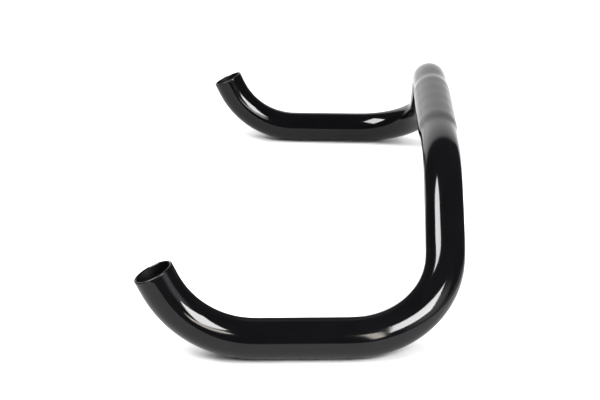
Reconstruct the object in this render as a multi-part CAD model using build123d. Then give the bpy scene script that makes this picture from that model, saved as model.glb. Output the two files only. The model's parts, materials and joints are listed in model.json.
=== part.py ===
from build123d import *
import os
from math import cos, radians, sin

# Bullhorn handlebar: one round tube, thickened in the middle for the stem, bent three times
# on each side and open at both ends. The origin is the middle of the clamp, with +X along the
# clamp to the rider's right, +Y forward along the horns and +Z up. Millimetres and degrees.

# Round sections
CLAMP_DIAMETER = 26.0    # outside, where the stem grips
TUBE_DIAMETER = 23.8     # outside, everywhere else
WALL = 1.5               # the same from end to end
RIM_ROUND = 0.6          # outer edge of each open end
RIM_CHAMFER = 0.4        # inner edge of each open end

# Straight runs, from the middle outwards
CLAMP_LENGTH = 80.0      # from one taper to the other
TAPER_LENGTH = 20.0      # from the clamp's diameter down to the tube's
SHOULDER_RUN = 16.0      # level tube between a taper and the shoulder bend
ARM_RUN = 39.0           # sloping tube between the shoulder and corner bends
HORN_RUN = 56.0          # level tube between the corner and tip bends
END_RUN = 8.5            # straight tube from the tip bend to the open end

# Bends, with radii at the tube's centre line
SHOULDER_ANGLE = 38.0    # the arms slope down from the level clamp
SHOULDER_RADIUS = 82.0
HORN_FLARE = 2.2         # the horns point outward from straight ahead
CORNER_RADIUS = 56.0
TIP_ANGLE = 66.0         # the tips turn up from the level horns
TIP_RADIUS = 58.0

RIGHT = Vector(1, 0, 0)
FORWARD = Vector(0, 1, 0)
UP = Vector(0, 0, 1)


def clamp_line(clamp_radius, tube_radius):
    """One wall of the middle, in profile: a level clamp between tapers of two arcs each."""
    shoulder = Vector(CLAMP_LENGTH / 2, clamp_radius)
    foot = Vector(CLAMP_LENGTH / 2 + TAPER_LENGTH, tube_radius)
    halfway = (shoulder + foot) / 2
    right_half = [
        Line((0, clamp_radius), shoulder),
        TangentArc(shoulder, halfway, tangent=RIGHT),
        TangentArc(foot, halfway, tangent=-RIGHT),
    ]
    return right_half + [mirror(edge, about=Plane.YZ) for edge in right_half]


def make_middle():
    """The clamp and both tapers, turned about the clamp's axis, with an even wall."""
    outside = clamp_line(CLAMP_DIAMETER / 2, TUBE_DIAMETER / 2)
    inside = clamp_line(CLAMP_DIAMETER / 2 - WALL, TUBE_DIAMETER / 2 - WALL)
    end = CLAMP_LENGTH / 2 + TAPER_LENGTH
    closing = [
        Line((x, TUBE_DIAMETER / 2 - WALL), (x, TUBE_DIAMETER / 2))
        for x in (-end, end)
    ]
    return revolve(make_face(outside + inside + closing), axis=Axis.X)


def turned(start, towards, angle):
    """The direction start, turned by an angle towards a direction square to it."""
    return start * cos(radians(angle)) + towards * sin(radians(angle))


def tube_ring(place, heading):
    """The tube's section, square to its heading."""
    ring = Circle(TUBE_DIAMETER / 2) - Circle(TUBE_DIAMETER / 2 - WALL)
    return Plane(place, z_dir=heading) * ring


def mouth_circles(tube, centre):
    """The round edges about the middle of an open end, the smallest first."""
    circles = tube.edges().filter_by(GeomType.CIRCLE)
    return circles.filter_by(lambda edge: (edge.arc_center - centre).length < WALL / 2).sort_by(SortBy.RADIUS)


def make_side():
    """The right side, bent step by step: shoulder, arm, corner, horn, upturned tip and rim."""
    arm = turned(RIGHT, -UP, SHOULDER_ANGLE)
    horn = turned(FORWARD, RIGHT, HORN_FLARE)
    tip = turned(horn, UP, TIP_ANGLE)
    steps = [
        (SHOULDER_RUN, SHOULDER_RADIUS, arm),
        (ARM_RUN, CORNER_RADIUS, horn),
        (HORN_RUN, TIP_RADIUS, tip),
    ]
    heading = RIGHT
    place = heading * (CLAMP_LENGTH / 2 + TAPER_LENGTH)
    tube = Part()
    for run, radius, next_heading in steps:
        tube += extrude(tube_ring(place, heading), run)
        place += heading * run
        hinge = heading.cross(next_heading).normalized()
        centre = place + hinge.cross(heading) * radius
        turn = heading.get_angle(next_heading)
        tube += revolve(tube_ring(place, heading), Axis(centre, hinge), turn)
        place = centre + next_heading.cross(hinge) * radius
        heading = next_heading
    tube += extrude(tube_ring(place, heading), END_RUN)
    mouth = place + heading * END_RUN
    tube = chamfer(mouth_circles(tube, mouth)[0], RIM_CHAMFER)
    return fillet(mouth_circles(tube, mouth)[-1], RIM_ROUND)


right_side = make_side()
handlebar = make_middle() + right_side + mirror(right_side, about=Plane.YZ)

os.makedirs("parts", exist_ok=True)
export_step(handlebar, "parts/handlebar.step")
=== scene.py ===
import json
from math import ceil, cos, pi, radians, sin, tan

import bpy
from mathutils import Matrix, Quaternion, Vector


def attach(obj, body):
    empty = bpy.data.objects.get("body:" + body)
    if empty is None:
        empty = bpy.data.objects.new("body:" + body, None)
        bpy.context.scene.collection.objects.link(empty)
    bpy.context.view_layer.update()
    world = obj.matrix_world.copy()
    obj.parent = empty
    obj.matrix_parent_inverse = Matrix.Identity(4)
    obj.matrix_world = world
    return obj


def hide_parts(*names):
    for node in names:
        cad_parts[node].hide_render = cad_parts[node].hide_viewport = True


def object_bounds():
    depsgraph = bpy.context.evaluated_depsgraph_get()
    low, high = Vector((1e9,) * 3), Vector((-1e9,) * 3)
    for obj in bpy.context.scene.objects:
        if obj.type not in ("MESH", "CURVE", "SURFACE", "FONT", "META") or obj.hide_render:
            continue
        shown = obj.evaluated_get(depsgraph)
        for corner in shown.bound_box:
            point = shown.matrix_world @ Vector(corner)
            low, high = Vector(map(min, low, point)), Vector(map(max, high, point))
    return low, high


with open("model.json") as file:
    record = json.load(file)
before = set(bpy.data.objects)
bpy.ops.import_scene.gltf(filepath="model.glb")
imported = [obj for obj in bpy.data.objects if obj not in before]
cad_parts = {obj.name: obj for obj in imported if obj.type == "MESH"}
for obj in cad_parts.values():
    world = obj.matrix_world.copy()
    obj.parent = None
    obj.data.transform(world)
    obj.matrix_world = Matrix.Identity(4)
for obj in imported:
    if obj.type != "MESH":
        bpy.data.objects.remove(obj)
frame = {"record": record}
cad_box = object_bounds()

# Bullhorn handlebar in gloss black paint. Metres and degrees, in the part's own frame: the origin
# is the middle of the clamp, with +X along the clamp, +Y forward along the horns and +Z up.

# Shape that the record's mounts don't give
SHOULDER_ANGLE = 38.0      # the arms slope down from the level clamp
SHOULDER_RADIUS = 0.082    # of that bend, at the tube's centre line
SHOULDER_EASE = 0.024      # lengths over which bending takes up and lets go of each curve
CORNER_EASE = 0.016
TIP_EASE = 0.012
TAPER_LENGTH = 0.020       # from the clamp's diameter down to the tube's
RIM_ROUND = 0.0006         # outer edge of each open end
RIM_CHAMFER = 0.0004       # inner edge of each open end
SWAGE_PITCH = 0.022        # faint rings that forming leaves on the clamp
SWAGE_DEPTH = 0.000025     # half of their height

# Mesh
AROUND = 96                # vertices round the tube
BEND_STEP = 0.002          # between rings in a bend or on the clamp
BEND_PARTS = 10            # steps from ring to ring in which a bend is worked out
STRAIGHT_STEP = 0.004      # between rings in a straight run
RIM_STEPS = 6              # round the outer edge of an open end
SHARP_ANGLE = 35.0         # an edge that turns more than this isn't shaded smooth

# Paint, sprayed a little unevenly outside, and thin and dull in the bore
PAINT_IOR = 1.5
PAINT_DARK = (0.0058, 0.0058, 0.0066, 1)
PAINT_PALE = (0.0074, 0.0074, 0.0084, 1)
PAINT_SMOOTH = 0.07        # roughness where the polish is best
PAINT_ROUGH = 0.12         # and where it is worst
NOISE_LOW = 0.3            # the noise between these two takes up the whole change
NOISE_HIGH = 0.7
PEEL_STRENGTH = 0.04       # orange peel
PEEL_HEIGHT = 0.0002
BORE_COLOUR = (0.011, 0.011, 0.012, 1)
BORE_ROUGHNESS = 0.45

# Camera, as the photograph was taken
CAMERA_PLACE = Vector((-0.8740, 0.0460, 0.2605))
CAMERA_YAW = 3.183         # from +X towards +Y
CAMERA_PITCH = -20.484
CAMERA_ROLL = -0.847
CAMERA_LENS = 78.344       # millimetres
CAMERA_SENSOR = 36.0       # millimetres

# Lamps
MIDDLE = Vector((0.0, 0.06, -0.04))               # of the bar, where they aim
WHITE = (1.0, 1.0, 1.0)
WARM = (1.0, 0.96, 0.86)
LAMP_GAP = 0.01            # from a lamp for the gloss back to its twin for matt surfaces
CEILING_SPREAD = 130.0     # the angle that the ceiling's light comes from
CEILING_STRENGTH = 2.0
BOUNCE_FULL = 0.75         # share of the way to a soft patch's middle where its glow is full

# Room, as glows in the directions from the bar
BACKDROP_AIM = Vector((0.9962, 0.0522, 0.0698))   # the middle of the round backdrop
BACKDROP_EDGE = 38.5       # angle from its middle to its edge
BACKDROP_FULL = 28.5       # angle from its middle to where it starts to fade
BACKDROP_SPAN = 0.5        # sideways direction, from right to left, over which it brightens
BACKDROP_RIGHT = 0.62      # its glow at the right
BACKDROP_LEFT = 1.02       # its glow at the left
WALL_HEIGHT = 0.16         # upward direction up to which the walls darken
WALL_FOOT = 0.109          # their glow at the table's level
WALL_TOP = 0.081           # their glow from that height up

# Table top, and glowing cards just above it that only the gloss sees, each with an even glow: painted
# reflections of the table's lit and dark parts
FLOOR = cad_box[0][2]      # the bar lies on it
TABLE_HALF = 15.0          # half the table's width
TABLE_GREY = 0.65
TABLE_ROUGHNESS = 0.9
CARD_LIFT = 0.0005         # the cards lie this far above the table
NEAR_X = -0.37             # edges across the view: the near edge of the lit part
CUT_X = -0.10              # the end of the slanting cut at its near left corner
BACK_X = 0.26              # where its bright back begins
FAN_X = 0.45               # from where the back widens to both sides
CUT_Y = 0.60               # edges along the view: the start of the slanting cut
LEFT_Y = 0.36              # the left edge of the lit part
SIDE_Y = -0.10             # the left edge of the bright patch at the right
RIGHT_Y = -0.50            # the right edge of the lit part
FAN_LEFT_Y = 8.6           # the back's left edge at the end of the table
FAN_RIGHT_Y = -5.9         # the back's right edge at the end of the table
DARK_GLOW = 0.072          # to the left and the right of the lit part
SIDE_GLOW = 0.54           # the bright patch at the right
FRONT_GLOW = 0.163         # from the near edge towards the camera
BACK_GLOW = 0.81           # the bright back


def mount(name):
    """Place, axis, radius and length of one of the record's mounts."""
    found = next(m for m in frame["record"]["mounts"] if m["name"] == name)
    size = found["dims"]
    axis = Vector(found["axis"]).normalized()
    return Vector(found["pos_m"]), axis, size["r_mm"] / 1000, size["length_mm"] / 1000


_, _, CLAMP_RADIUS, CLAMP_LENGTH = mount("stem_clamp")
HORN_MIDDLE, HORN, TUBE_RADIUS, HORN_RUN = mount("right_horn_grip")
BORE_MIDDLE, TIP, BORE_RADIUS, BORE_LENGTH = mount("right_end_bore")


def straight(start, end, step):
    """Stations along a straight run, without its end. A station is a place and a heading."""
    count = ceil((end - start).length / step)
    heading = (end - start).normalized()
    return [(start.lerp(end, i / count), heading) for i in range(count)]


def bend(corner, heading, next_heading, radius, ease):
    """Stations round a corner. The curve is taken up over the ease and let go over it at the end."""
    turn = heading.angle(next_heading)
    inward = heading.cross(next_heading).normalized().cross(heading)
    length = radius * turn + ease
    count = ceil(length / BEND_STEP)
    step = length / count / BEND_PARTS

    def angle(s):
        if s < ease:
            return s * s / (2 * ease * radius)
        if s > length - ease:
            return turn - (length - s) ** 2 / (2 * ease * radius)
        return (s - ease / 2) / radius

    along, across = 0.0, 0.0
    track = [(0.0, 0.0, 0.0)]
    for i in range(count * BEND_PARTS):
        a = angle((i + 0.5) * step)
        along += cos(a) * step
        across += sin(a) * step
        if (i + 1) % BEND_PARTS == 0:
            track.append((along, across, angle((i + 1) * step)))
    start = corner - heading * (across / sin(turn))
    return [(start + heading * u + inward * v, heading * cos(a) + inward * sin(a)) for u, v, a in track]


def centre_line():
    """Stations of the right half, from the middle of the clamp to where the rim's rounding starts."""
    right = Vector((1, 0, 0))
    arm = Vector((cos(radians(SHOULDER_ANGLE)), 0, -sin(radians(SHOULDER_ANGLE))))
    corner = HORN_MIDDLE - HORN * (HORN_MIDDLE.y / HORN.y)
    shoulder = corner - arm * (corner.z / arm.z)
    tip_corner = BORE_MIDDLE - TIP * ((BORE_MIDDLE.z - HORN_MIDDLE.z) / TIP.z)
    corner_radius = (HORN_MIDDLE - HORN * HORN_RUN / 2 - corner).length / tan(arm.angle(HORN) / 2)
    tip_radius = (HORN_MIDDLE + HORN * HORN_RUN / 2 - tip_corner).length / tan(HORN.angle(TIP) / 2)
    place = Vector((CLAMP_LENGTH / 2 + TAPER_LENGTH, 0, 0))
    line = straight(Vector(), place, BEND_STEP)
    for curve in (
        bend(shoulder, right, arm, SHOULDER_RADIUS, SHOULDER_EASE),
        bend(corner, arm, HORN, corner_radius, CORNER_EASE),
        bend(tip_corner, HORN, TIP, tip_radius, TIP_EASE),
    ):
        line += straight(place, curve[0][0], STRAIGHT_STEP) + curve[:-1]
        place = curve[-1][0]
    end = BORE_MIDDLE + TIP * (BORE_LENGTH / 2 + RIM_CHAMFER - RIM_ROUND)
    return line + straight(place, end, BEND_STEP) + [(end, TIP)]


def swelling(x):
    """How far the clamp stands out from the tube at x, with a taper of two arcs each side."""
    share = (abs(x) - CLAMP_LENGTH / 2) / TAPER_LENGTH
    full = CLAMP_RADIUS - TUBE_RADIUS
    if share >= 1:
        return 0.0
    if share > 0.5:
        return full * 2 * (1 - share) ** 2
    if share > 0:
        return full * (1 - 2 * share ** 2)
    return full + SWAGE_DEPTH * (cos(2 * pi * x / SWAGE_PITCH) - 1)


def ring(place, side, up, radius):
    """The vertices of one circle about a place."""
    turns = [2 * pi * k / AROUND for k in range(AROUND)]
    return [place + (side * cos(t) + up * sin(t)) * radius for t in turns]


def half_rings():
    """Rings of the right half, out along the outside, round the rim and back along the bore.

    With each ring goes its share of the bore's finish: 0 outside and 1 in the bore.
    """
    outside, inside = [], []
    up = Vector((0, 0, 1))
    for place, heading in centre_line():
        up = (up - heading * up.dot(heading)).normalized()
        side = up.cross(heading)
        extra = swelling(place.x)
        outside.append(ring(place, side, up, TUBE_RADIUS + extra))
        inside.append(ring(place, side, up, BORE_RADIUS + extra))
    # The rim goes on from the last station, with a distance along the tip and a radius for each ring
    rim = []
    for i in range(1, RIM_STEPS + 1):
        angle = pi / 2 * i / RIM_STEPS
        rim.append((RIM_ROUND * sin(angle), TUBE_RADIUS - RIM_ROUND * (1 - cos(angle))))
    rim.append((RIM_ROUND, BORE_RADIUS + RIM_CHAMFER))
    rim.append((RIM_ROUND - RIM_CHAMFER, BORE_RADIUS))
    rounded = [ring(place + heading * along, side, up, radius) for along, radius in rim]
    return [(points, 0.0) for points in outside + rounded] + [(points, 1.0) for points in inside[::-1]]


def make_bar():
    """One closed mesh: both halves, outside and bore."""
    right = half_rings()
    left = [([Vector((-v.x, v.y, v.z)) for v in points], share) for points, share in right]
    loop = right + left[::-1][1:-1]
    vertices = [v for points, _ in loop for v in points]
    faces = []
    for i in range(len(loop)):
        here, there = i * AROUND, (i + 1) % len(loop) * AROUND
        for k in range(AROUND):
            after = (k + 1) % AROUND
            faces.append((here + k, here + after, there + after, there + k))
    mesh = bpy.data.meshes.new("gloss_bar")
    mesh.from_pydata(vertices, [], faces)
    bore = mesh.attributes.new("bore", "FLOAT", "POINT")
    bore.data.foreach_set("value", [share for points, share in loop for _ in points])
    mesh.shade_smooth()
    mesh.set_sharp_from_angle(angle=radians(SHARP_ANGLE))
    bar = bpy.data.objects.new("gloss_bar", mesh)
    bpy.context.scene.collection.objects.link(bar)
    return bar


def grey(level):
    """A colour that is the same in red, green and blue."""
    return (level, level, level, 1)


def new_material(name):
    """A material with its nodes and links."""
    material = bpy.data.materials.new(name)
    material.use_nodes = True
    return material, material.node_tree.nodes, material.node_tree.links


def gloss_black():
    """Sprayed gloss black with a faint orange peel and uneven polish, duller in the bore."""
    material, nodes, links = new_material("gloss_black_paint")
    shader = nodes["Principled BSDF"]
    shader.inputs["IOR"].default_value = PAINT_IOR
    place = nodes.new("ShaderNodeTexCoord").outputs["Object"]
    bore = nodes.new("ShaderNodeAttribute")
    bore.attribute_name = "bore"

    def noise(scale, detail):
        node = nodes.new("ShaderNodeTexNoise")
        node.inputs["Scale"].default_value = scale
        node.inputs["Detail"].default_value = detail
        links.new(place, node.inputs["Vector"])
        return node.outputs["Fac"]

    def ramp(value, low, high):
        node = nodes.new("ShaderNodeValToRGB")
        node.color_ramp.elements[0].position = NOISE_LOW
        node.color_ramp.elements[0].color = low
        node.color_ramp.elements[1].position = NOISE_HIGH
        node.color_ramp.elements[1].color = high
        links.new(value, node.inputs["Fac"])
        return node.outputs["Color"]

    def other_inside(outside, inside):
        node = nodes.new("ShaderNodeMixRGB")
        links.new(bore.outputs["Fac"], node.inputs["Fac"])
        links.new(outside, node.inputs["Color1"])
        node.inputs["Color2"].default_value = inside
        return node.outputs["Color"]

    tint = ramp(noise(scale=60, detail=3), PAINT_DARK, PAINT_PALE)
    polish = ramp(noise(scale=35, detail=4), grey(PAINT_SMOOTH), grey(PAINT_ROUGH))
    peel = nodes.new("ShaderNodeBump")
    peel.inputs["Strength"].default_value = PEEL_STRENGTH
    peel.inputs["Distance"].default_value = PEEL_HEIGHT
    links.new(noise(scale=650, detail=2), peel.inputs["Height"])
    links.new(other_inside(tint, BORE_COLOUR), shader.inputs["Base Color"])
    links.new(other_inside(polish, grey(BORE_ROUGHNESS)), shader.inputs["Roughness"])
    links.new(peel.outputs["Normal"], shader.inputs["Normal"])
    return material


def white_floor():
    """A pale matt table top that the bar lies on."""
    material, nodes, _ = new_material("pale_table")
    shader = nodes["Principled BSDF"]
    shader.inputs["Base Color"].default_value = grey(TABLE_GREY)
    shader.inputs["Roughness"].default_value = TABLE_ROUGHNESS
    shader.inputs["Specular IOR Level"].default_value = 0.0
    signs = ((-1, -1), (1, -1), (1, 1), (-1, 1))
    corners = [(x * TABLE_HALF, y * TABLE_HALF, FLOOR) for x, y in signs]
    mesh = bpy.data.meshes.new("table")
    mesh.from_pydata(corners, [], [(0, 1, 2, 3)])
    mesh.materials.append(material)
    table = bpy.data.objects.new("table", mesh)
    bpy.context.scene.collection.objects.link(table)


def facing(aim, roll):
    """The rotation of a lamp or a camera that looks along an aim, rolled about it."""
    return aim.to_track_quat("-Z", "Y") @ Quaternion((0, 0, 1), radians(roll))


def softbox(name, place, roll, width, height, radiance, colour, gloss, matt):
    """A rectangular light that faces the bar, with one share for the gloss and one for matt surfaces."""
    aim = MIDDLE - place
    for use, share, behind in (("gloss", gloss, 0.0), ("matt", matt, LAMP_GAP)):
        if not share:
            continue
        light = bpy.data.lights.new(f"{name}_{use}", "AREA")
        light.shape = "RECTANGLE"
        light.size = width
        light.size_y = height
        light.energy = share * radiance * pi * width * height
        light.color = colour
        lamp = bpy.data.objects.new(light.name, light)
        lamp.location = place - aim.normalized() * behind
        lamp.rotation_mode = "QUATERNION"
        lamp.rotation_quaternion = facing(aim, roll)
        lamp.visible_camera = False
        lamp.visible_diffuse = use == "matt"
        lamp.visible_glossy = use == "gloss"
        bpy.context.scene.collection.objects.link(lamp)


def surround():
    """A dark room round the table, with low walls and a round white backdrop behind the bar."""
    world = bpy.data.worlds.new("studio")
    world.use_nodes = True
    bpy.context.scene.world = world
    nodes, links = world.node_tree.nodes, world.node_tree.links
    direction = nodes.new("ShaderNodeTexCoord").outputs["Generated"]
    split = nodes.new("ShaderNodeSeparateXYZ")
    links.new(direction, split.inputs[0])

    def fade(kind, value, low, high, start, end):
        node = nodes.new("ShaderNodeMapRange")
        node.interpolation_type = kind
        for name, number in (("From Min", low), ("From Max", high), ("To Min", start), ("To Max", end)):
            node.inputs[name].default_value = number
        links.new(value, node.inputs["Value"])
        return node.outputs["Result"]

    def combine(operation, a, b):
        node = nodes.new("ShaderNodeMath")
        node.operation = operation
        links.new(a, node.inputs[0])
        links.new(b, node.inputs[1])
        return node.outputs[0]

    aim = nodes.new("ShaderNodeVectorMath")
    aim.operation = "DOT_PRODUCT"
    aim.inputs[1].default_value = BACKDROP_AIM
    links.new(direction, aim.inputs[0])
    edge, full = cos(radians(BACKDROP_EDGE)), cos(radians(BACKDROP_FULL))
    disc = fade("SMOOTHSTEP", aim.outputs["Value"], edge, full, 0.0, 1.0)
    sideways, upward = split.outputs["Y"], split.outputs["Z"]
    across = fade("LINEAR", sideways, -BACKDROP_SPAN, BACKDROP_SPAN, BACKDROP_RIGHT, BACKDROP_LEFT)
    backdrop = combine("MULTIPLY", disc, across)
    walls = fade("SMOOTHSTEP", upward, 0.0, WALL_HEIGHT, WALL_FOOT, WALL_TOP)
    nodes["Background"].inputs["Color"].default_value = grey(1)
    links.new(combine("MAXIMUM", backdrop, walls), nodes["Background"].inputs["Strength"])


def overhead_fill():
    """Light from the whole ceiling, too even to show as a shape in the gloss."""
    light = bpy.data.lights.new("light_ceiling", "SUN")
    light.angle = radians(CEILING_SPREAD)
    light.energy = CEILING_STRENGTH
    lamp = bpy.data.objects.new("light_ceiling", light)
    lamp.visible_camera = False
    lamp.visible_glossy = False
    bpy.context.scene.collection.objects.link(lamp)


def glowing(name, glow):
    """A material for the cards: an even glow in front, and clear from behind."""
    material, nodes, links = new_material(name)
    shader = nodes["Principled BSDF"]
    shader.inputs["Base Color"].default_value = grey(0)
    shader.inputs["Specular IOR Level"].default_value = 0.0
    shader.inputs["Emission Color"].default_value = grey(1)
    shader.inputs["Emission Strength"].default_value = glow
    sides = nodes.new("ShaderNodeMixShader")
    links.new(nodes.new("ShaderNodeNewGeometry").outputs["Backfacing"], sides.inputs["Fac"])
    links.new(shader.outputs["BSDF"], sides.inputs[1])
    links.new(nodes.new("ShaderNodeBsdfTransparent").outputs["BSDF"], sides.inputs[2])
    links.new(sides.outputs["Shader"], nodes["Material Output"].inputs["Surface"])
    return material


def card(name, corners, glow):
    """A card that only the gloss sees, and only from in front."""
    mesh = bpy.data.meshes.new(name)
    mesh.from_pydata(corners, [], [tuple(range(len(corners)))])
    mesh.materials.append(glowing(name, glow))
    piece = bpy.data.objects.new(name, mesh)
    piece.visible_camera = False
    piece.visible_diffuse = False
    piece.visible_shadow = False
    bpy.context.scene.collection.objects.link(piece)
    return piece


def bounce(name, place, half, glow):
    """A soft patch of light that faces the bar, brightest in the middle, and hides nothing behind it."""
    piece = card(name, [(-1, -1, 0), (1, -1, 0), (1, 1, 0), (-1, 1, 0)], glow)
    piece.scale = (half, half, 1)
    piece.location = place
    piece.rotation_mode = "QUATERNION"
    piece.rotation_quaternion = (MIDDLE - place).to_track_quat("Z", "Y")
    nodes = piece.data.materials[0].node_tree.nodes
    links = piece.data.materials[0].node_tree.links
    middle = nodes.new("ShaderNodeTexGradient")
    middle.gradient_type = "SPHERICAL"
    links.new(nodes.new("ShaderNodeTexCoord").outputs["Object"], middle.inputs["Vector"])
    fall = nodes.new("ShaderNodeMapRange")
    fall.interpolation_type = "SMOOTHSTEP"
    fall.inputs["From Max"].default_value = BOUNCE_FULL
    fall.inputs["To Max"].default_value = glow
    links.new(middle.outputs["Fac"], fall.inputs["Value"])
    links.new(fall.outputs["Result"], nodes["Principled BSDF"].inputs["Emission Strength"])
    both = nodes.new("ShaderNodeAddShader")
    links.new(nodes["Principled BSDF"].outputs["BSDF"], both.inputs[0])
    links.new(nodes.new("ShaderNodeBsdfTransparent").outputs["BSDF"], both.inputs[1])
    links.new(both.outputs["Shader"], nodes["Mix Shader"].inputs[1])


def table_card(name, outline, glow):
    """A glowing card lying just above the table, facing up: a painted reflection of the table in the
    gloss.
    """
    card(name, [(x, y, FLOOR + CARD_LIFT) for x, y in outline], glow)


def flag(name, x, left, right, low, top, glow):
    """An upright glowing card across the view, seen only by the gloss: a painted dark reflection. It
    faces the side from which left and right are told.
    """
    card(name, [(x, left, low), (x, right, low), (x, right, top), (x, left, top)], glow)


def photo_camera():
    """The camera in the photograph's place."""
    yaw, pitch = radians(CAMERA_YAW), radians(CAMERA_PITCH)
    forward = Vector((cos(pitch) * cos(yaw), cos(pitch) * sin(yaw), sin(pitch)))
    camera = bpy.data.objects.new("camera", bpy.data.cameras.new("camera"))
    camera.location = CAMERA_PLACE
    camera.rotation_mode = "QUATERNION"
    camera.rotation_quaternion = facing(forward, CAMERA_ROLL)
    camera.data.sensor_width = CAMERA_SENSOR
    camera.data.lens = CAMERA_LENS
    bpy.context.scene.collection.objects.link(camera)
    bpy.context.scene.camera = camera


bar = make_bar()
bar.data.materials.append(gloss_black())
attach(bar, "root")
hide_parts("handlebar")

white_floor()
surround()
overhead_fill()
softbox(
    "light_left", place=Vector((-0.540, 1.542, 1.857)), roll=0, width=1.645, height=1.415,
    radiance=11.4, colour=WHITE, gloss=1.0, matt=0.6,
)
softbox(
    "light_right", place=Vector((-0.912, -0.657, 0.632)), roll=-3, width=0.697, height=0.676,
    radiance=13.2, colour=WHITE, gloss=1.0, matt=1.0,
)
softbox(
    "light_strip", place=Vector((-0.882, -0.161, 0.242)), roll=14, width=0.120, height=0.440,
    radiance=7.7, colour=WARM, gloss=1.0, matt=0.0,
)
# Glowing cards that only the gloss sees: painted reflections of the table, dark at the sides, lighter
# towards the camera, bright at the right and at the back
table_card("card_left", [
    (NEAR_X, CUT_Y), (CUT_X, LEFT_Y), (FAN_X, LEFT_Y), (TABLE_HALF, FAN_LEFT_Y),
    (TABLE_HALF, TABLE_HALF), (NEAR_X, TABLE_HALF),
], DARK_GLOW)
table_card("card_right", [
    (NEAR_X, -TABLE_HALF), (TABLE_HALF, -TABLE_HALF), (TABLE_HALF, FAN_RIGHT_Y),
    (FAN_X, RIGHT_Y), (NEAR_X, RIGHT_Y),
], DARK_GLOW)
table_card("card_side", [
    (NEAR_X, RIGHT_Y), (BACK_X, RIGHT_Y), (BACK_X, SIDE_Y), (NEAR_X, SIDE_Y),
], SIDE_GLOW)
table_card("card_front", [
    (-TABLE_HALF, -TABLE_HALF), (NEAR_X, -TABLE_HALF), (NEAR_X, TABLE_HALF), (-TABLE_HALF, TABLE_HALF),
], FRONT_GLOW)
table_card("card_back", [
    (BACK_X, RIGHT_Y), (FAN_X, RIGHT_Y), (TABLE_HALF, FAN_RIGHT_Y), (TABLE_HALF, FAN_LEFT_Y),
    (FAN_X, LEFT_Y), (BACK_X, LEFT_Y),
], BACK_GLOW)
bounce("bounce_right", place=Vector((-0.40, -0.38, 0.06)), half=0.27, glow=1.25)
# Dark cards that only the gloss sees: painted dark reflections along the bar's edges and over the clamp
flag("flag_left", x=-0.08, left=0.17, right=0.055, low=FLOOR, top=0.02, glow=0.109)
flag("flag_right", x=0.0, left=-0.06, right=-0.35, low=FLOOR, top=0.05, glow=DARK_GLOW)
flag("flag_clamp", x=-0.12, left=-0.060, right=0.0, low=0.012, top=0.064, glow=0.085)
photo_camera()
bpy.context.scene.view_settings.view_transform = "Standard"
bpy.context.scene.view_settings.look = "High Contrast"
